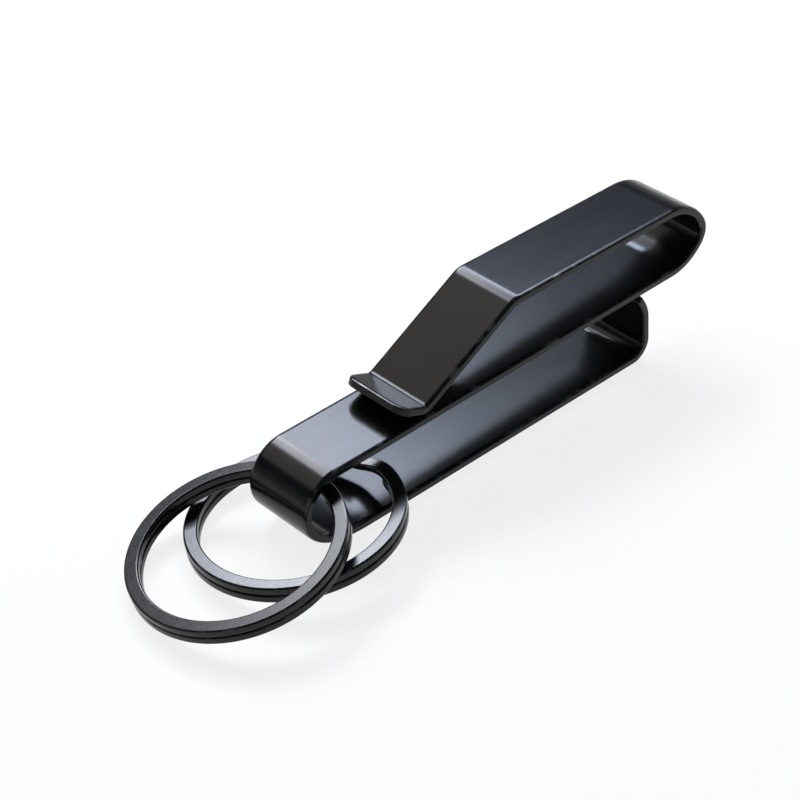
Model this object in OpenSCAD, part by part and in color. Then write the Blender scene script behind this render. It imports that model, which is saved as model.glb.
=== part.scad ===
// Belt key clip: one strip of spring steel folded into a belt hook above and a
// key loop below, with two split rings that hang in the key loop.
// The strip is drawn in side view, X along the clip and Z up, and then given its width.
// It is divided at the outermost line of each spring bend, where it flexes.

/* [Strip] */
// Width of the strip
strip_w = 12; // [8:0.5:20]
// Thickness of the spring steel
strip_t = 1.4; // [1:0.1:2]
// Slope of the middle plate, rising towards the belt bend, in degrees
mid_rise = 0.6; // [0:0.1:1]

/* [Key loop] */
// Length of the flat stretch of the lower plate, on which the clip rests
rest_l = 57.4; // [45:0.1:80]
// Inside radius of the long easy bend at the end of the lower plate
ease_r = 26.3; // [15:0.1:40]
// Turn of the easy bend, in degrees
ease_a = 12.5; // [5:0.5:20]
// Inside radius of the lower shoulder of the ring bend
ring_shoulder_r = 7.2; // [5.5:0.1:9]
// Turn of the lower shoulder, in degrees
ring_shoulder_a = 35; // [20:1:45]
// Inside radius of the ring bend
ring_bend_r = 4.7; // [4:0.1:7]
// Inside radius of the upturn at the free end of the lower plate
upturn_r = 2.1; // [1:0.1:4]
// Lean of the upturned end past the upright, in degrees
upturn_lean = 6; // [0:1:12]
// Inside radius of the curl that closes the key loop
curl_r = 6.5; // [4:0.1:9]
// Turn of the curl, in degrees
curl_a = 28.5; // [15:0.5:40]
// Straight stretch after the curl
tip_l = 1.5; // [0.5:0.1:3]
// Gap between the closed tip and the middle plate
tip_gap = 0.15; // [0.1:0.05:0.3]

/* [Belt hook] */
// Length of the flat stretch of the middle plate
mid_l = 71.4; // [60:0.1:95]
// Inside radius of the lower shoulder of the belt bend
low_shoulder_r = 7.5; // [5:0.1:10]
// Turn of the lower shoulder, in degrees
low_shoulder_a = 49.6; // [35:0.1:60]
// Inside radius of the nose of the belt bend
nose_r = 2.6; // [2:0.1:5]
// Inside radius of the upper shoulder of the belt bend
top_shoulder_r = 8.8; // [6:0.1:12]
// Turn of the upper shoulder, in degrees
top_shoulder_a = 58.8; // [45:0.1:70]
// Length of the flat stretch of the top plate
top_l = 33.5; // [25:0.1:45]
// Inside radius of the bend from top plate to ramp
ramp_r = 3; // [1.5:0.1:4]
// Slope of the ramp, in degrees
ramp_a = 29.6; // [24:0.1:35]
// Gap between the closed heel and the middle plate
heel_gap = 0.1; // [0.1:0.05:0.3]

/* [Lip] */
// Inside radius of the crease between ramp and lip
crease_r = 0.4; // [0.2:0.1:1]
// Slope of the lip, rising towards its free edge, in degrees
lip_a = 22; // [10:1:35]
// Length of the lip from the crease to its free edge
lip_l = 4.9; // [3:0.1:8]
// Radius of the two free corners of the lip
lip_corner_r = 2; // [1:0.1:3]

/* [Split rings] */
// Outside diameter of a split ring
ring_d = 32; // [26:0.5:36]
// Width of the ring wire, measured across the ring
wire_w = 2.1; // [1.5:0.1:2.5]
// Thickness of one turn of the ring wire
turn_t = 1.25; // [0.8:0.05:1.4]
// Slit between the two turns
turn_slit = 0.1; // [0.05:0.05:0.2]
// Chamfer along the edges of the ring wire
wire_chamfer = 0.18; // [0.1:0.02:0.3]
// Angle over which the wire steps from the upper turn to the lower one, in degrees
step_a = 28; // [20:1:40]
// Reach of the front ring's centre beyond the lower plate's flat stretch
front_reach = 21; // [18:0.01:26]
// Reach of the back ring's centre beyond the lower plate's flat stretch
back_reach = 9.6; // [7:0.01:12]
// Height of the front ring's centre, at its upper face
front_z = 6.6; // [5:0.01:8]
// Height of the back ring's centre, at its upper face
back_z = 4.98; // [3:0.01:6]
// Shift of the front ring towards the near side
front_shift = 1.5; // [0:0.1:3]
// Shift of the back ring towards the near side
back_shift = 0.8; // [0:0.1:3]

/* [Hidden] */
// Angle of one facet round a bend, in degrees, and facets round a corner of the lip
facet_a = 4;
corner_steps = 12;

// Tilts of the rings as they lie, about X and then about Y, in degrees
front_tilt_a = [-5.6, -13.6];
back_tilt_a = [-6, -6.1];
// Where on each ring its wire ends, in degrees round the ring; both ends lie inside the key loop
ring_end_a = 14;
// Steps in one turn of the wire, and in the step down
turn_steps = 60;
jog_steps = 8;
strip_colour = [0.1, 0.1, 0.11];
ring_colour = [0.16, 0.16, 0.17];

half_t = strip_t / 2;
ring_r = ring_d / 2;

// A pose is a place on the strip's centre line: x, z and the heading in degrees.
// These move it along a flat run, and round a bend of inside radius r; a turn to the left is positive.
function ahead(pose, l) = [pose.x + l * cos(pose[2]), pose.y + l * sin(pose[2]), pose[2]];
function round_bend(pose, a, r) =
    let (s = sign(a) * (r + half_t), heading = pose[2] + a)
    [pose.x + s * (sin(heading) - sin(pose[2])), pose.y - s * (cos(heading) - cos(pose[2])), heading];

// The key loop from the lower plate's end, up the ring bend to the line where it is divided
rest_start = [-rest_l / 2, half_t, 180];
ease_end = round_bend(rest_start, -ease_a, ease_r);
shoulder_end = round_bend(ease_end, -ring_shoulder_a, ring_shoulder_r);
ring_low_a = 90 - ease_a - ring_shoulder_a;
ring_cut = round_bend(shoulder_end, -ring_low_a, ring_bend_r);

// The middle plate from there to the line where the belt bend is divided
ring_high_a = 90 - mid_rise;
mid_start = round_bend(ring_cut, -ring_high_a, ring_bend_r);
mid_end = ahead(mid_start, mid_l);
low_shoulder_end = round_bend(mid_end, low_shoulder_a, low_shoulder_r);
nose_low_a = 90 - mid_rise - low_shoulder_a;
belt_cut = round_bend(low_shoulder_end, nose_low_a, nose_r);

// The top plate and its ramp
nose_high_a = 90 - top_shoulder_a;
nose_end = round_bend(belt_cut, nose_high_a, nose_r);
top_start = round_bend(nose_end, top_shoulder_a, top_shoulder_r);
top_end = ahead(top_start, top_l);
ramp_start = round_bend(top_end, ramp_a, ramp_r);

// Height of a point over the middle plate's centre line, square to it
function over_middle(p) = (p.y - mid_start.y) * cos(mid_rise) - (p.x - mid_start.x) * sin(mid_rise);

// The ramp is as long as it takes for the rounded heel to stop just short of the middle plate
function crease_centre(pose) =
    [pose.x + (crease_r + half_t) * sin(pose[2]), pose.y - (crease_r + half_t) * cos(pose[2])];
heel_drop = over_middle(crease_centre(ramp_start)) - (half_t + heel_gap + crease_r + strip_t);
ramp_l = heel_drop / sin(ramp_a + mid_rise);
ramp_end = ahead(ramp_start, ramp_l);
lip_start = round_bend(ramp_end, -ramp_a - lip_a, crease_r);

// The upturned end is as long as it takes for the tip to stop just short of the middle plate
upturn_start = [rest_l / 2, half_t, 0];
upturn_end = round_bend(upturn_start, 90 + upturn_lean, upturn_r);
function tip_corner(pose) = [pose.x + half_t * sin(pose[2]), pose.y - half_t * cos(pose[2])];
low_tip = ahead(round_bend(upturn_end, curl_a, curl_r), tip_l);
wall_l = (-half_t - tip_gap - over_middle(tip_corner(low_tip))) / cos(upturn_lean + mid_rise);
wall_end = ahead(upturn_end, wall_l);
curl_end = round_bend(wall_end, curl_a, curl_r);

// Poses at even steps round a bend, the first and last included
function bend_poses(pose, a, r) =
    let (steps = ceil(abs(a) / facet_a))
    [for (i = [0:steps]) round_bend(pose, a * i / steps, r)];

// A point beside a pose, at distance d to its left
function beside(pose, d) = [pose.x - d * sin(pose[2]), pose.y + d * cos(pose[2])];

// The strip along a row of poses: its side view, given the strip's width
module strip_along(poses) {
    last = len(poses) - 1;
    rotate([90, 0, 0])
        linear_extrude(strip_w, center = true)
            polygon(concat(
                [for (pose = poses) beside(pose, half_t)],
                [for (i = [last:-1:0]) beside(poses[i], -half_t)]
            ));
}

module middle_plate() {
    color(strip_colour)
        strip_along(concat(
            bend_poses(ring_cut, -ring_high_a, ring_bend_r),
            bend_poses(mid_end, low_shoulder_a, low_shoulder_r),
            bend_poses(low_shoulder_end, nose_low_a, nose_r)
        ));
}

// What is cut off the two free corners of the lip, which starts at the end of the crease
module lip_corners() {
    translate([lip_start.x, 0, lip_start.y])
        rotate([0, -lip_start[2], 0])
            linear_extrude(2 * strip_t, center = true)
                for (side = [-1, 1])
                    polygon(concat(
                        [lip_corner(45, 2, side)],
                        [for (i = [0:corner_steps]) lip_corner(90 * i / corner_steps, 1, side)]
                    ));
}

// A point on the round of a lip corner, or at twice its radius beyond it
function lip_corner(turn, share, side) = [
    lip_l + lip_corner_r * (share * sin(turn) - 1),
    side * (strip_w / 2 + lip_corner_r * (share * cos(turn) - 1))
];

module belt_arm() {
    color(strip_colour)
        difference() {
            strip_along(concat(
                bend_poses(belt_cut, nose_high_a, nose_r),
                bend_poses(nose_end, top_shoulder_a, top_shoulder_r),
                bend_poses(top_end, ramp_a, ramp_r),
                bend_poses(ramp_end, -ramp_a - lip_a, crease_r),
                [ahead(lip_start, lip_l)]
            ));
            lip_corners();
        }
}

module lower_plate() {
    ring_half = concat(
        bend_poses(rest_start, -ease_a, ease_r),
        bend_poses(ease_end, -ring_shoulder_a, ring_shoulder_r),
        bend_poses(shoulder_end, -ring_low_a, ring_bend_r)
    );
    last = len(ring_half) - 1;
    color(strip_colour)
        strip_along(concat(
            [for (i = [last:-1:0]) ring_half[i] + [0, 0, 180]],
            bend_poses(upturn_start, 90 + upturn_lean, upturn_r),
            bend_poses(wall_end, curl_a, curl_r),
            [ahead(curl_end, tip_l)]
        ));
}

// The wire of a split ring runs flat for one turn, steps down within step_a and runs flat again.
// A stop on its way has an angle round the ring and a share of the step down.
flat_a = 360 - step_a;
function eased(s) = s * s * (3 - 2 * s);
wire_stops = concat(
    [for (i = [0:turn_steps]) [flat_a * i / turn_steps, 0]],
    [for (i = [1:jog_steps]) [flat_a + step_a * i / jog_steps, eased(i / jog_steps)]],
    [for (i = [1:turn_steps]) [360 + flat_a * i / turn_steps, 1]]
);
// Corners of the wire's section, from the middle of its upper face
wire_section = [
    [wire_w / 2 - wire_chamfer, 0],
    [wire_w / 2, -wire_chamfer],
    [wire_w / 2, wire_chamfer - turn_t],
    [wire_w / 2 - wire_chamfer, -turn_t],
    [wire_chamfer - wire_w / 2, -turn_t],
    [-wire_w / 2, wire_chamfer - turn_t],
    [-wire_w / 2, -wire_chamfer],
    [wire_chamfer - wire_w / 2, 0]
];
sides = len(wire_section);
wire_points = [
    for (stop = wire_stops, corner = wire_section)
        let (r = ring_r - wire_w / 2 + corner.x)
        [r * cos(stop[0]), r * sin(stop[0]), corner.y - stop[1] * (turn_t + turn_slit)]
];
wire_faces = concat(
    [[for (k = [0:sides - 1]) k]],
    [
        for (i = [0:len(wire_stops) - 2], k = [0:sides - 1])
            let (a = i * sides + k, b = i * sides + (k + 1) % sides)
            each [[a, a + sides, b], [b, a + sides, b + sides]]
    ],
    [[for (k = [sides - 1:-1:0]) (len(wire_stops) - 1) * sides + k]]
);

// A split ring that lies tilted, placed by the middle of its upper face
module split_ring(place, tilt_a) {
    color(ring_colour)
        translate(place)
            rotate([tilt_a[0], tilt_a[1], 0])
                rotate(ring_end_a)
                    polyhedron(wire_points, wire_faces);
}

module front_split_ring() {
    split_ring([-rest_l / 2 - front_reach, -front_shift, front_z], front_tilt_a);
}

module back_split_ring() {
    split_ring([-rest_l / 2 - back_reach, -back_shift, back_z], back_tilt_a);
}

middle_plate();
belt_arm();
lower_plate();
front_split_ring();
back_split_ring();
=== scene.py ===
import math

import bpy
from mathutils import Matrix, Vector


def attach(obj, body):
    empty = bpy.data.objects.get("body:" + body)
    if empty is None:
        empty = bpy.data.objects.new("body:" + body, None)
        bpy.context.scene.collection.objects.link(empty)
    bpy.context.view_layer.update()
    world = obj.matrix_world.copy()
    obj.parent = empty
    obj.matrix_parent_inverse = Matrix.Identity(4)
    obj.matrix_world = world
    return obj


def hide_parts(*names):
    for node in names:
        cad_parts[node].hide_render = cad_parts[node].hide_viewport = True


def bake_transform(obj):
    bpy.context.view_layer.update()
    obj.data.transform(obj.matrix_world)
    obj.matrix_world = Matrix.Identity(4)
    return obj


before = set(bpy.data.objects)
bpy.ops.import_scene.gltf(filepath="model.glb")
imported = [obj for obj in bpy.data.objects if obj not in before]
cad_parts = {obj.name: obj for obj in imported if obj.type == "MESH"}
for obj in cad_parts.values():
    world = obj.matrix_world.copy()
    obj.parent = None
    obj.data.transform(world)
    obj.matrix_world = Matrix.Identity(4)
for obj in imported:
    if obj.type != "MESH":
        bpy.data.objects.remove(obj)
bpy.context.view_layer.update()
MM = 0.001

# Camera: its place in metres, its lens in millimetres and its angles in degrees

CAMERA_AT = (-0.18384, -0.17323, 0.19121)
LENS, SENSOR_W = 93.43, 36
CLIP_FROM, CLIP_TO = 0.01, 20
# The side it looks from, its height over the horizon, its roll, and how far it leans along the clip
AZIMUTH, ELEVATION, ROLL, LEAN = -133.533, 37.014, -0.647, 0.75


def towards(azimuth, elevation):
    """A direction, from an azimuth measured from +X towards +Y and a height over the horizon."""
    a, e = math.radians(azimuth), math.radians(elevation)
    return Vector((math.cos(a) * math.cos(e), math.sin(a) * math.cos(e), math.sin(e)))


def camera_axes():
    """Right, up and back of the camera, in the part's frame."""
    back = towards(AZIMUTH, ELEVATION)
    right = (-back).cross(Vector((0, 0, 1))).normalized()
    up = back.cross(right)
    roll = math.radians(ROLL)
    rolled_right = right * math.cos(roll) + up * math.sin(roll)
    rolled_up = up * math.cos(roll) - right * math.sin(roll)
    lean = Matrix.Rotation(-math.radians(LEAN), 3, "Y")
    return [lean @ axis for axis in (rolled_right, rolled_up, back)]


def make_camera():
    data = bpy.data.cameras.new("camera")
    data.lens, data.sensor_width = LENS, SENSOR_W
    data.clip_start, data.clip_end = CLIP_FROM, CLIP_TO
    camera = bpy.data.objects.new("camera", data)
    bpy.context.collection.objects.link(camera)
    turn = Matrix(camera_axes()).transposed().to_4x4()
    camera.matrix_world = Matrix.Translation(CAMERA_AT) @ turn
    bpy.context.scene.camera = camera


# Studio: a pale floor, a grey wall low round the horizon, a dimmer ceiling, and soft lamps

FLOOR_HALF, FLOOR_Z = 3.0, -0.00005
FLOOR_COLOUR = (0.97, 0.94, 0.9)
# How much of the floor that the eye sees is plain white, and the rest keeps the shadow
FLOOR_WHITE_SHARE = 0.82
WALL_COLOUR = (0.42, 0.42, 0.42)
CEILING_COLOUR = (0.09, 0.11, 0.15)
# Sines of the heights between which the wall fades into the ceiling
WALL_TOP, CEILING_FROM = 0.15, 0.36
LAMP_DISTANCE = 0.75
# Name, azimuth, elevation, lean to the left, width and height as angles, brightness, colour
LAMPS = [
    ("softbox_right", 39.9, 45.1, 8.5, 19, 10, 23.5, (0.7, 0.8, 1.0)),
    ("softbox_left", 63.0, 40.2, 26.0, 16.4, 14.5, 18.0, (0.84, 0.88, 1.0)),
    ("softbox_high", 76.6, 50.0, 65.6, 10.5, 21, 21.5, (0.9, 0.92, 1.0)),
    ("left_glow", 86.0, 43.0, 0, 9, 13, 1.2, (0.97, 0.97, 1.0)),
    ("edge_strip", 13, 48.5, 0, 22, 7, 6.0, (0.85, 0.9, 1.0)),
    ("fill", 118, 47, 0, 32, 26, 1.6, (1.0, 0.93, 0.82)),
]


def seen_by_eye(tree):
    """A factor that is 1 for rays that see the background: straight, by gloss or through glass."""
    path = tree.nodes.new("ShaderNodeLightPath")
    factor = path.outputs["Is Camera Ray"]
    for ray in ("Is Glossy Ray", "Is Transmission Ray"):
        either = tree.nodes.new("ShaderNodeMath")
        either.operation = "MAXIMUM"
        tree.links.new(factor, either.inputs[0])
        tree.links.new(path.outputs[ray], either.inputs[1])
        factor = either.outputs[0]
    return factor


def make_world():
    world = bpy.data.worlds.new("studio")
    bpy.context.scene.world = world
    world.use_nodes = True
    tree = world.node_tree
    tree.nodes.clear()
    coords = tree.nodes.new("ShaderNodeTexCoord")
    height = tree.nodes.new("ShaderNodeSeparateXYZ")
    fade = tree.nodes.new("ShaderNodeMapRange")
    fade.interpolation_type = "SMOOTHSTEP"
    fade.inputs["From Min"].default_value = WALL_TOP
    fade.inputs["From Max"].default_value = CEILING_FROM
    mix = tree.nodes.new("ShaderNodeMix")
    mix.data_type = "RGBA"
    mix.inputs["A"].default_value = (*WALL_COLOUR, 1)
    mix.inputs["B"].default_value = (*CEILING_COLOUR, 1)
    background = tree.nodes.new("ShaderNodeBackground")
    out = tree.nodes.new("ShaderNodeOutputWorld")
    tree.links.new(coords.outputs["Generated"], height.inputs[0])
    tree.links.new(height.outputs["Z"], fade.inputs["Value"])
    tree.links.new(fade.outputs[0], mix.inputs["Factor"])
    tree.links.new(mix.outputs["Result"], background.inputs["Color"])
    tree.links.new(background.outputs[0], out.inputs[0])


def make_floor():
    mesh = bpy.data.meshes.new("floor")
    corners = [(x * FLOOR_HALF, y * FLOOR_HALF, FLOOR_Z) for x, y in ((-1, -1), (1, -1), (1, 1), (-1, 1))]
    mesh.from_pydata(corners, [], [(0, 1, 2, 3)])
    floor = bpy.data.objects.new("floor", mesh)
    bpy.context.collection.objects.link(floor)
    material = bpy.data.materials.new("pale_floor")
    material.use_nodes = True
    tree = material.node_tree
    tree.nodes.clear()
    matt = tree.nodes.new("ShaderNodeBsdfDiffuse")
    matt.inputs["Color"].default_value = (*FLOOR_COLOUR, 1)
    white = tree.nodes.new("ShaderNodeEmission")
    share = tree.nodes.new("ShaderNodeMath")
    share.operation = "MULTIPLY"
    share.inputs[1].default_value = FLOOR_WHITE_SHARE
    mix = tree.nodes.new("ShaderNodeMixShader")
    out = tree.nodes.new("ShaderNodeOutputMaterial")
    tree.links.new(seen_by_eye(tree), share.inputs[0])
    tree.links.new(share.outputs[0], mix.inputs[0])
    tree.links.new(matt.outputs[0], mix.inputs[1])
    tree.links.new(white.outputs[0], mix.inputs[2])
    tree.links.new(mix.outputs[0], out.inputs[0])
    mesh.materials.append(material)


def make_lamp(name, azimuth, elevation, lean, wide, high, brightness, colour):
    """A soft rectangular lamp that fills so many degrees seen from the object."""
    data = bpy.data.lights.new(name, "AREA")
    data.shape = "RECTANGLE"
    data.size, data.size_y = (2 * LAMP_DISTANCE * math.tan(math.radians(a / 2)) for a in (wide, high))
    data.energy = brightness * math.pi * data.size * data.size_y
    data.color = colour
    lamp = bpy.data.objects.new(name, data)
    bpy.context.collection.objects.link(lamp)
    direction = towards(azimuth, elevation)
    lamp.location = direction * LAMP_DISTANCE
    leaning = Matrix.Rotation(-math.radians(lean), 3, "Z")
    lamp.rotation_euler = (direction.to_track_quat("Z", "Y").to_matrix() @ leaning).to_euler()


# The bent strip, as a path of straight runs and bends in side view, in millimetres and degrees

STRIP_W, STRIP_T = 12.0, 1.4
HALF_T = STRIP_T / 2
REST_L, MIDDLE_L, TOP_L, LIP_L, TIP_L = 57.4, 71.4, 33.5, 4.9, 1.5
# Slope of the middle plate, and how far the bends turn
MID_RISE = 0.6
EASE_A, RING_SHOULDER_A = 12.5, 35.0
LOW_SHOULDER_A, TOP_SHOULDER_A, RAMP_A, LIP_A = 49.6, 58.8, 29.6, 22.0
UPTURN_A, CURL_A = 96.0, 28.5
# The crease is drawn with a wider bend between the same two straight runs
CREASE_R, SOFT_CREASE_R = 0.4, 1.0
# What the heel and the tongue's tip leave free under and over the middle plate
HEEL_GAP, TIP_GAP = 0.1, 0.15


def follow(pose, piece):
    """The pose at the end of a run (name, length) or a bend (name, turn, inside radius)."""
    x, z, heading = pose
    a = math.radians(heading)
    if len(piece) == 2:
        return x + piece[1] * math.cos(a), z + piece[1] * math.sin(a), heading
    _, turn, radius = piece
    r = math.copysign(radius + HALF_T, turn)
    b = math.radians(heading + turn)
    return x + r * (math.sin(b) - math.sin(a)), z - r * (math.cos(b) - math.cos(a)), heading + turn


def follow_all(pose, pieces):
    for piece in pieces:
        pose = follow(pose, piece)
    return pose


# A run is (name, length), and a bend is (name, turn, inside radius)
RING_BENDS = [
    ("ease", -EASE_A, 26.3),
    ("ring_shoulder", -RING_SHOULDER_A, 7.2),
    ("ring_bend", MID_RISE + EASE_A + RING_SHOULDER_A - 180, 4.7),
]
REST_END = (-REST_L / 2, HALF_T, 180.0)
MIDDLE_START = follow_all(REST_END, RING_BENDS)
BELT_BENDS = [
    ("middle", MIDDLE_L),
    ("low_shoulder", LOW_SHOULDER_A, 7.5),
    ("nose", 180 - MID_RISE - LOW_SHOULDER_A - TOP_SHOULDER_A, 2.6),
    ("top_shoulder", TOP_SHOULDER_A, 8.8),
    ("top", TOP_L),
    ("ramp_bend", RAMP_A, 3.0),
]
TONGUE_BENDS = [("upturn", UPTURN_A, 2.1), ("curl", CURL_A, 6.5), ("tip", TIP_L)]


def over_middle(x, z):
    """Height over the middle plate's centre line, square to it."""
    rise = math.radians(MID_RISE)
    return (z - MIDDLE_START[1]) * math.cos(rise) - (x - MIDDLE_START[0]) * math.sin(rise)


def ramp_length():
    """The ramp is as long as it takes for the rounded heel to stop just short of the middle plate."""
    x, z, heading = follow_all(MIDDLE_START, BELT_BENDS)
    a, r = math.radians(heading), CREASE_R + HALF_T
    height = over_middle(x + r * math.sin(a), z - r * math.cos(a))
    drop = height - (HALF_T + HEEL_GAP + CREASE_R + STRIP_T)
    return drop / math.sin(math.radians(RAMP_A + MID_RISE))


def wall_length():
    """The tongue's wall is as long as it takes for its tip to stop just short of the middle plate."""
    x, z, heading = follow_all((REST_L / 2, HALF_T, 0.0), TONGUE_BENDS)
    a = math.radians(heading)
    room = -HALF_T - TIP_GAP - over_middle(x + HALF_T * math.sin(a), z - HALF_T * math.cos(a))
    return room / math.cos(math.radians(UPTURN_A - 90 + MID_RISE))


def strip_path():
    """Start pose and pieces of the whole strip, from the tongue's tip to the lip's free edge."""
    upturn, curl, tip = TONGUE_BENDS
    tongue = [upturn, ("wall", wall_length()), curl, tip]
    x, z, heading = follow_all((REST_L / 2, HALF_T, 0.0), tongue)
    backwards = [(p[0], p[1]) if len(p) == 2 else (p[0], -p[1], p[2]) for p in reversed(tongue)]
    spared = (SOFT_CREASE_R - CREASE_R) * math.tan(math.radians(RAMP_A + LIP_A) / 2)
    crease = ("crease", -RAMP_A - LIP_A, SOFT_CREASE_R)
    lip = [("ramp", ramp_length() - spared), crease, ("lip", LIP_L - spared)]
    return (x, z, heading - 180), backwards + [("rest", REST_L)] + RING_BENDS + BELT_BENDS + lip


class Stretch:
    """One run or bend of the strip: where it starts along the strip, how long it is and how it turns."""

    def __init__(self, at, pose, piece):
        self.at, self.pose, self.piece = at, pose, piece
        self.turn = 0.0 if len(piece) == 2 else piece[1]
        bend_l = 0.0 if len(piece) == 2 else abs(math.radians(self.turn)) * (piece[2] + HALF_T)
        self.length = bend_l or piece[1]

    def place(self, along):
        """x, z and heading at a distance along the stretch."""
        if self.turn == 0:
            return follow(self.pose, ("run", along))
        return follow(self.pose, ("bend", self.turn * along / self.length, self.piece[2]))


def make_stretches():
    pose, pieces = strip_path()
    stretches, at = {}, 0.0
    for piece in pieces:
        stretch = Stretch(at, pose, piece)
        stretches[piece[0]] = stretch
        at += stretch.length
        pose = follow(pose, piece)
    return stretches, at


STRETCHES, STRIP_L = make_stretches()


def place(s):
    """x, z and heading at a distance along the whole strip."""
    for stretch in STRETCHES.values():
        if s <= stretch.at + stretch.length + 1e-9:
            break
    return stretch.place(s - stretch.at)


# Degrees of a bend, or length of a run, from one row of points to the next
BEND_STEP_A, RUN_STEP_L = 3, 4
LEAST_STEP = 1e-4


def stations(start, end):
    """Distances along the strip at which it gets a row of points: close together round a bend."""
    found = {start, end}
    for stretch in STRETCHES.values():
        step_count = math.ceil(max(abs(stretch.turn) / BEND_STEP_A, stretch.length / RUN_STEP_L))
        found.update(stretch.at + stretch.length * i / step_count for i in range(step_count + 1))
    kept = []
    for s in sorted(found):
        if start <= s <= end and (not kept or s - kept[-1] > LEAST_STEP):
            kept.append(s)
    return kept


# The rounded edge is wider across the strip than it is deep
EDGE_WIDE, EDGE_DEEP = 0.7, 0.32
EDGE_ANGLES = [math.radians(a) for a in range(15, 91, 15)]
# Steps of the points across the strip: round each corner, and on the flat between the corners
CORNER_STEPS, FLAT_STEPS = 8, 6
# A piece that has no free end spaces its points as if it had this corner radius
SEAM_CORNER_R = 1.0


class Mesh:
    """Points with a normal and an edge share each, and the faces between them."""

    def __init__(self):
        self.points, self.normals, self.edges, self.faces = [], [], [], []

    def add(self, point, normal, edge=0.0):
        self.points.append(Vector(point) * MM)
        self.normals.append(Vector(normal).normalized())
        self.edges.append(edge)
        return len(self.points) - 1

    def piece(self, name):
        mesh = bpy.data.meshes.new(name)
        mesh.from_pydata(self.points, [], self.faces)
        mesh.validate()
        mesh.polygons.foreach_set("use_smooth", [True] * len(mesh.polygons))
        mesh.normals_split_custom_set_from_vertices(self.normals)
        edge = mesh.attributes.new("edge", "FLOAT", "POINT")
        edge.data.foreach_set("value", self.edges)
        piece = bpy.data.objects.new(name, mesh)
        bpy.context.collection.objects.link(piece)
        return piece


class StripPiece(Mesh):
    """A length of the strip with rounded edges. An end is free if it has a corner radius, else a seam."""

    def __init__(self, start, end, start_corner=None, end_corner=None):
        super().__init__()
        self.corner = end_corner or start_corner or SEAM_CORNER_R
        self.core = STRIP_W / 2 - self.corner
        self.bulge = self.corner - EDGE_WIDE
        turns = [math.pi / 2 * i / CORNER_STEPS for i in range(CORNER_STEPS + 1)]
        outer = [self.core + self.bulge * math.cos(a) for a in turns]
        inner = [self.core * (1 - 2 * i / FLAT_STEPS) for i in range(1, FLAT_STEPS)]
        self.across = outer + inner + [-y for y in reversed(outer)]
        low, high = start + (start_corner or 0), end - (end_corner or 0)
        rows = [[(s, y) for y in self.across] for s in stations(low, high)]
        first = self.end_row(low, -1) if start_corner else None
        last = self.end_row(high, 1) if end_corner else None
        upper = self.face(rows, first, last, 1)
        lower = self.face(rows, first, last, -1)
        self.rim(rows, first, last, upper, lower)

    def on_strip(self, s, y, t, normal, edge=0.0):
        """A point so far along the strip, across it and off its centre line, and its normal likewise."""
        x, z, heading = place(s)
        c, i = math.cos(math.radians(heading)), math.sin(math.radians(heading))
        along, aside, up = normal
        return self.add((x - t * i, y, z + t * c), (along * c - up * i, aside, along * i + up * c), edge)

    def end_row(self, at, way):
        """Places and outward directions along a free end with round corners."""
        row = []
        for y in self.across:
            turn = math.acos(min(1.0, max(0.0, abs(y) - self.core) / self.bulge))
            side = math.copysign(1, y)
            outward = (way * math.sin(turn), side * math.cos(turn))
            row.append((at + way * self.bulge * math.sin(turn), y, outward))
        return row

    def face(self, rows, first, last, side):
        """The flat points of one face as rows of indices, free ends included."""
        t = side * HALF_T
        made = [[self.on_strip(s, y, t, (0, 0, side)) for s, y in row] for row in rows]

        def free_end(end, neighbour):
            middle = [self.on_strip(s, y, t, (0, 0, side)) for s, y, _ in end[1:-1]]
            return [neighbour[0]] + middle + [neighbour[-1]]

        if first:
            made.insert(0, free_end(first, made[0]))
        if last:
            made.append(free_end(last, made[-1]))
        for a_row, b_row in zip(made, made[1:]):
            for k in range(len(a_row) - 1):
                loop = [a_row[k], b_row[k], b_row[k + 1], a_row[k + 1]]
                loop = [v for i, v in enumerate(loop) if v != loop[i - 1]]
                self.faces.append(loop[::-1] if side > 0 else loop)
        return made

    def column(self, s, y, outward, first, last):
        """Points down one place of the rim, from the upper face round both edges to the lower face."""
        along, aside = outward
        ids = [first]
        for side in (1, -1):
            for a in EDGE_ANGLES[::side]:
                reach = EDGE_WIDE * math.sin(a)
                t = side * (HALF_T - EDGE_DEEP + EDGE_DEEP * math.cos(a))
                out, up = math.sin(a) * EDGE_DEEP, side * math.cos(a) * EDGE_WIDE
                normal = (along * out, aside * out, up)
                ids.append(self.on_strip(s + along * reach, y + aside * reach, t, normal, math.sin(2 * a)))
        return ids + [last]

    def rim(self, rows, first, last, upper, lower):
        """The rounded sides, round the free ends where there are any, and flat caps at the seams."""
        body = slice(1 if first else 0, len(upper) - (1 if last else 0))
        uppers, lowers = upper[body], lower[body]
        near = [self.column(*row[0], (0, 1), u[0], v[0]) for row, u, v in zip(rows, uppers, lowers)]
        far = [self.column(*row[-1], (0, -1), u[-1], v[-1]) for row, u, v in zip(rows, uppers, lowers)]

        def round_end(end, u, v):
            return [self.column(s, y, outward, u[k], v[k]) for k, (s, y, outward) in enumerate(end)][1:-1]

        loop = near + (round_end(last, upper[-1], lower[-1]) if last else [None]) + far[::-1]
        loop += round_end(first, upper[0], lower[0])[::-1] if first else [None]
        for a_col, b_col in zip(loop, loop[1:] + loop[:1]):
            if a_col and b_col:
                for j in range(len(a_col) - 1):
                    self.faces.append([a_col[j], b_col[j], b_col[j + 1], a_col[j + 1]])
        if not last:
            self.faces.append(self.cap(upper[-1], far[-1], lower[-1], near[-1]))
        if not first:
            self.faces.append(self.cap(upper[0], far[0], lower[0], near[0])[::-1])

    def cap(self, upper_row, far_col, lower_row, near_col):
        return upper_row + far_col[1:] + lower_row[::-1][1:] + near_col[::-1][1:-1]


# The split rings, in millimetres and degrees

RING_R, WIRE_W, TURN_T, TURN_SLIT = 16.0, 2.1, 1.25, 0.1
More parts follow.
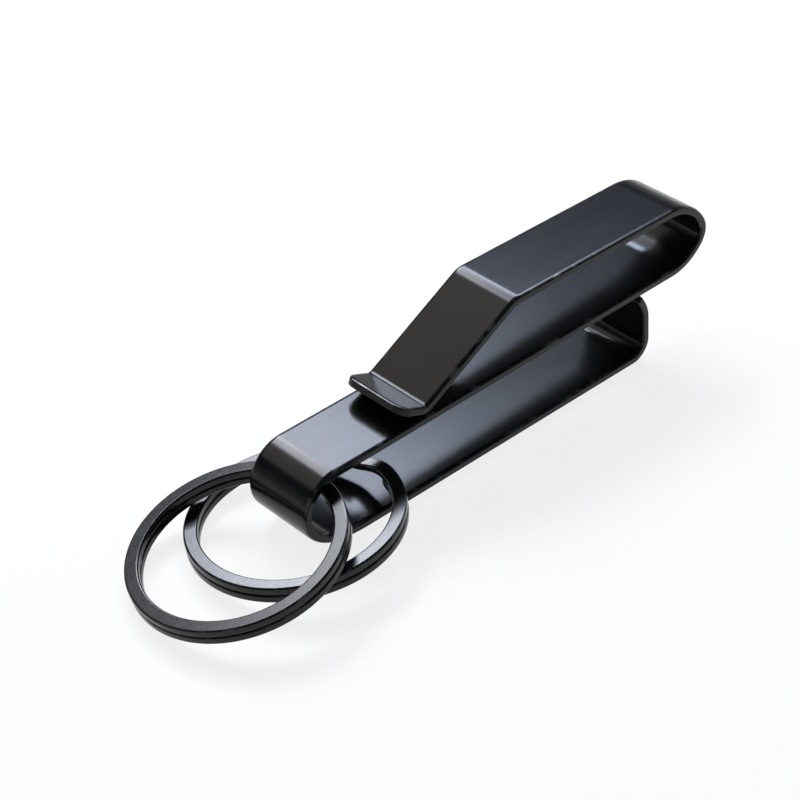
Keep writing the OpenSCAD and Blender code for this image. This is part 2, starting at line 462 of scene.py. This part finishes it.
# Rounding of the wire's edges and of its cut ends
WIRE_ROUND, WIRE_END_ROUND = 0.32, 0.288
# Degrees over which the wire steps down, and where on the ring its two ends lie
STEP_A, RING_END_A = 28, 14
# Rows of points in a flat turn, in the step down and in a quarter of a rounding
TURN_STEPS, JOG_STEPS, QUARTER_STEPS = 150, 16, 4
# Name, middle of the upper face, tilts about X and Y as it lies
RINGS = [
    ("front_ring", "front_split_ring", "front_ring_body", (-49.7, -1.5, 6.6), (-5.6, -13.6)),
    ("back_ring", "back_split_ring", "back_ring_body", (-38.3, -0.8, 4.98), (-6.0, -6.1)),
]


def wire_section(inset):
    """Points, normals and edge shares round the wire's section, drawn in by an inset."""
    half_w, half_t, r = WIRE_W / 2 - inset, TURN_T / 2 - inset, WIRE_ROUND - inset
    section = []
    for quarter, (side, up) in enumerate(((1, 1), (-1, 1), (-1, -1), (1, -1))):
        for i in range(QUARTER_STEPS + 1):
            turn = math.pi / 2 * i / QUARTER_STEPS
            c, s = math.cos(turn + quarter * math.pi / 2), math.sin(turn + quarter * math.pi / 2)
            place_on_wire = side * (half_w - r) + r * c, up * (half_t - r) + r * s
            section.append((*place_on_wire, c, s, math.sin(2 * turn)))
    return section


def wire_stops():
    """Rows along the wire: angle, share of the step down, inset and, at the ends, lean of the normals."""
    mean_r, flat_a = RING_R - WIRE_W / 2, 360 - STEP_A
    ends = [math.pi / 2 * i / QUARTER_STEPS for i in range(1, QUARTER_STEPS + 1)]
    start, stop = [], []
    for turn in ends:
        back = math.degrees(WIRE_END_ROUND * (1 - math.sin(turn)) / mean_r)
        inset = WIRE_END_ROUND * (1 - math.cos(turn))
        start.append((back, 0.0, inset, turn - math.pi / 2))
        stop.append((360 + flat_a - back, 1.0, inset, math.pi / 2 - turn))
    flat = [flat_a * i / TURN_STEPS for i in range(1, TURN_STEPS + 1)]
    steps = [i / JOG_STEPS for i in range(1, JOG_STEPS)]
    jog = [(flat_a + STEP_A * t, t * t * (3 - 2 * t), 0.0, 0.0) for t in steps]
    return (
        start[::-1]
        + [(a, 0.0, 0.0, 0.0) for a in flat]
        + jog
        + [(360 + a, 1.0, 0.0, 0.0) for a in [0.0] + flat[:-1]]
        + stop
    )


def split_ring(name, centre, tilt):
    tilts = Matrix.Rotation(math.radians(tilt[1]), 4, "Y") @ Matrix.Rotation(math.radians(tilt[0]), 4, "X")
    lie = Matrix.Translation(centre) @ tilts @ Matrix.Rotation(math.radians(RING_END_A), 4, "Z")
    mean_r = RING_R - WIRE_W / 2
    mesh, rows = Mesh(), wire_stops()
    for angle, share, inset, lean in rows:
        a = math.radians(angle)
        outward, forward = Vector((math.cos(a), math.sin(a), 0)), Vector((-math.sin(a), math.cos(a), 0))
        for aside, up, nx, nz, edge in wire_section(inset):
            drop = TURN_T / 2 + share * (TURN_T + TURN_SLIT)
            point = outward * (mean_r + aside) + Vector((0, 0, up - drop))
            normal = (outward * nx + Vector((0, 0, nz))) * math.cos(lean) + forward * math.sin(lean)
            mesh.add(lie @ point, lie.to_3x3() @ normal, edge)
    sides = len(wire_section(0))
    for i in range(len(rows) - 1):
        for k in range(sides):
            a, b = i * sides + k, i * sides + (k + 1) % sides
            mesh.faces.append([a, a + sides, b + sides, b])
    mesh.faces.append(list(range(sides)))
    mesh.faces.append([(len(rows) - 1) * sides + k for k in reversed(range(sides))])
    return mesh.piece(name)


# Materials: a black coat with faint mottling, fine grain and rubbed edges

# Name, index of refraction, darkest and lightest coat, least and most roughness
STRIP_COAT = ("black_strip_steel", 1.3, (0.003, 0.003, 0.0027), (0.006, 0.0058, 0.0054), (0.19, 0.21))
RING_COAT = ("black_ring_steel", 1.36, (0.003, 0.003, 0.003), (0.006, 0.006, 0.006), (0.18, 0.23))
BARE_STEEL = (0.16, 0.155, 0.15)
# Scale and detail of each noise
MOTTLE, SPECK, STREAK, RUB = (220, 4), (2600, 3), (700, 3), (420, 4)
STREAK_STRETCH = (0.1, 1, 0.1)
# The part of each noise, and of the edge share, that the change is spread over
MOTTLE_SPAN, FINISH_SPAN, RUB_SPAN, EDGE_SPAN = (0.3, 0.7), (0.1, 0.42), (0.5, 0.72), (0.3, 1)
MOST_WEAR = 0.8
GRAIN_STRENGTH, GRAIN_HEIGHT = 0.3, 0.00001


class Shader:
    """A principled material whose inputs are fed by noise in the part's own coordinates."""

    def __init__(self, name):
        self.material = bpy.data.materials.new(name)
        self.material.use_nodes = True
        self.tree = self.material.node_tree
        self.surface = self.tree.nodes["Principled BSDF"]
        self.coords = self.tree.nodes.new("ShaderNodeTexCoord")

    def noise(self, scale, detail, stretch=(1, 1, 1)):
        mapping = self.tree.nodes.new("ShaderNodeMapping")
        mapping.inputs["Scale"].default_value = stretch
        self.tree.links.new(self.coords.outputs["Object"], mapping.inputs["Vector"])
        texture = self.tree.nodes.new("ShaderNodeTexNoise")
        texture.inputs["Scale"].default_value = scale
        texture.inputs["Detail"].default_value = detail
        self.tree.links.new(mapping.outputs[0], texture.inputs["Vector"])
        return texture.outputs["Fac"]

    def spread(self, value, from_range, to_range):
        """A value mapped smoothly from one range to another."""
        node = self.tree.nodes.new("ShaderNodeMapRange")
        node.interpolation_type = "SMOOTHSTEP"
        for name, number in zip(("From Min", "From Max", "To Min", "To Max"), (*from_range, *to_range)):
            node.inputs[name].default_value = number
        self.tree.links.new(value, node.inputs["Value"])
        return node.outputs[0]

    def product(self, a, b):
        node = self.tree.nodes.new("ShaderNodeMath")
        node.operation = "MULTIPLY"
        self.tree.links.new(a, node.inputs[0])
        self.tree.links.new(b, node.inputs[1])
        return node.outputs[0]

    def blend(self, factor, low, high):
        """A colour between two colours or sockets."""
        node = self.tree.nodes.new("ShaderNodeMix")
        node.data_type = "RGBA"
        self.tree.links.new(factor, node.inputs["Factor"])
        for name, colour in (("A", low), ("B", high)):
            if isinstance(colour, tuple):
                node.inputs[name].default_value = (*colour, 1)
            else:
                self.tree.links.new(colour, node.inputs[name])
        return node.outputs["Result"]

    def attribute(self, name):
        node = self.tree.nodes.new("ShaderNodeAttribute")
        node.attribute_name = name
        return node.outputs["Fac"]

    def feed(self, value, socket):
        self.tree.links.new(value, self.surface.inputs[socket])


def coated_steel(name, ior, dark, light, roughness):
    shader = Shader(name)
    shader.surface.inputs["IOR"].default_value = ior
    mottle, speck = shader.noise(*MOTTLE), shader.noise(*SPECK)
    streak = shader.noise(*STREAK, STREAK_STRETCH)
    rub = shader.spread(shader.noise(*RUB), RUB_SPAN, (0, 1))
    worn = shader.product(shader.spread(shader.attribute("edge"), EDGE_SPAN, (0, MOST_WEAR)), rub)
    coat = shader.blend(shader.spread(mottle, MOTTLE_SPAN, (0, 1)), dark, light)
    shader.feed(shader.blend(worn, coat, BARE_STEEL), "Base Color")
    shader.feed(shader.spread(shader.product(streak, speck), FINISH_SPAN, roughness), "Roughness")
    shader.feed(worn, "Metallic")
    bump = shader.tree.nodes.new("ShaderNodeBump")
    bump.inputs["Strength"].default_value = GRAIN_STRENGTH
    bump.inputs["Distance"].default_value = GRAIN_HEIGHT
    shader.tree.links.new(speck, bump.inputs["Height"])
    shader.feed(bump.outputs[0], "Normal")
    return shader.material


# The assembly

LOWER, MIDDLE, ARM = "lower_body", "middle_body", "arm_body"
TIP_CORNER_R, LIP_CORNER_R = 0.8, 2.0
# Heights listed with each bend's two bodies
RING_FLEX, BELT_FLEX = (4.2, 10.6), (15.8, 21.4)
# How far past a flat stretch's start its seam lies
LOWER_SEAM, MIDDLE_SEAM, BELT_SEAM, TOP_SEAM = 52.0, 3.5, 68.0, 1.6


def make_strip():
    material = coated_steel(*STRIP_COAT)
    rest, middle, top = (STRETCHES[name].at for name in ("rest", "middle", "top"))
    seams = [rest + LOWER_SEAM, middle + MIDDLE_SEAM, middle + BELT_SEAM, top + TOP_SEAM]
    # Name, mesh, nodes that it stands for, and the body that it follows, or for a bend two bodies and
    # heights
    parts = [
        ("lower_strip", StripPiece(0.0, seams[0], start_corner=TIP_CORNER_R), ["lower_plate"], [LOWER]),
        ("ring_bend", StripPiece(*seams[0:2]), ["lower_plate", "middle_plate"], [LOWER, MIDDLE, RING_FLEX]),
        ("middle_strip", StripPiece(*seams[1:3]), ["middle_plate"], [MIDDLE]),
        ("belt_bend", StripPiece(*seams[2:4]), ["middle_plate", "belt_arm"], [MIDDLE, ARM, BELT_FLEX]),
        ("top_strip", StripPiece(seams[3], STRIP_L, end_corner=LIP_CORNER_R), ["belt_arm"], [ARM]),
    ]
    for name, mesh, nodes, follows in parts:
        piece = mesh.piece(name)
        piece.data.materials.append(material)
        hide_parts(*nodes)
        if len(follows) == 1:
            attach(piece, follows[0])
        else:
            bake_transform(piece)


def make_rings():
    material = coated_steel(*RING_COAT)
    for name, node, body, centre, tilt in RINGS:
        piece = split_ring(name, centre, tilt)
        piece.data.materials.append(material)
        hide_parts(node)
        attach(piece, body)


make_camera()
make_world()
make_floor()
for lamp in LAMPS:
    make_lamp(*lamp)
make_strip()
make_rings()

bpy.context.scene.view_settings.view_transform = "Standard"
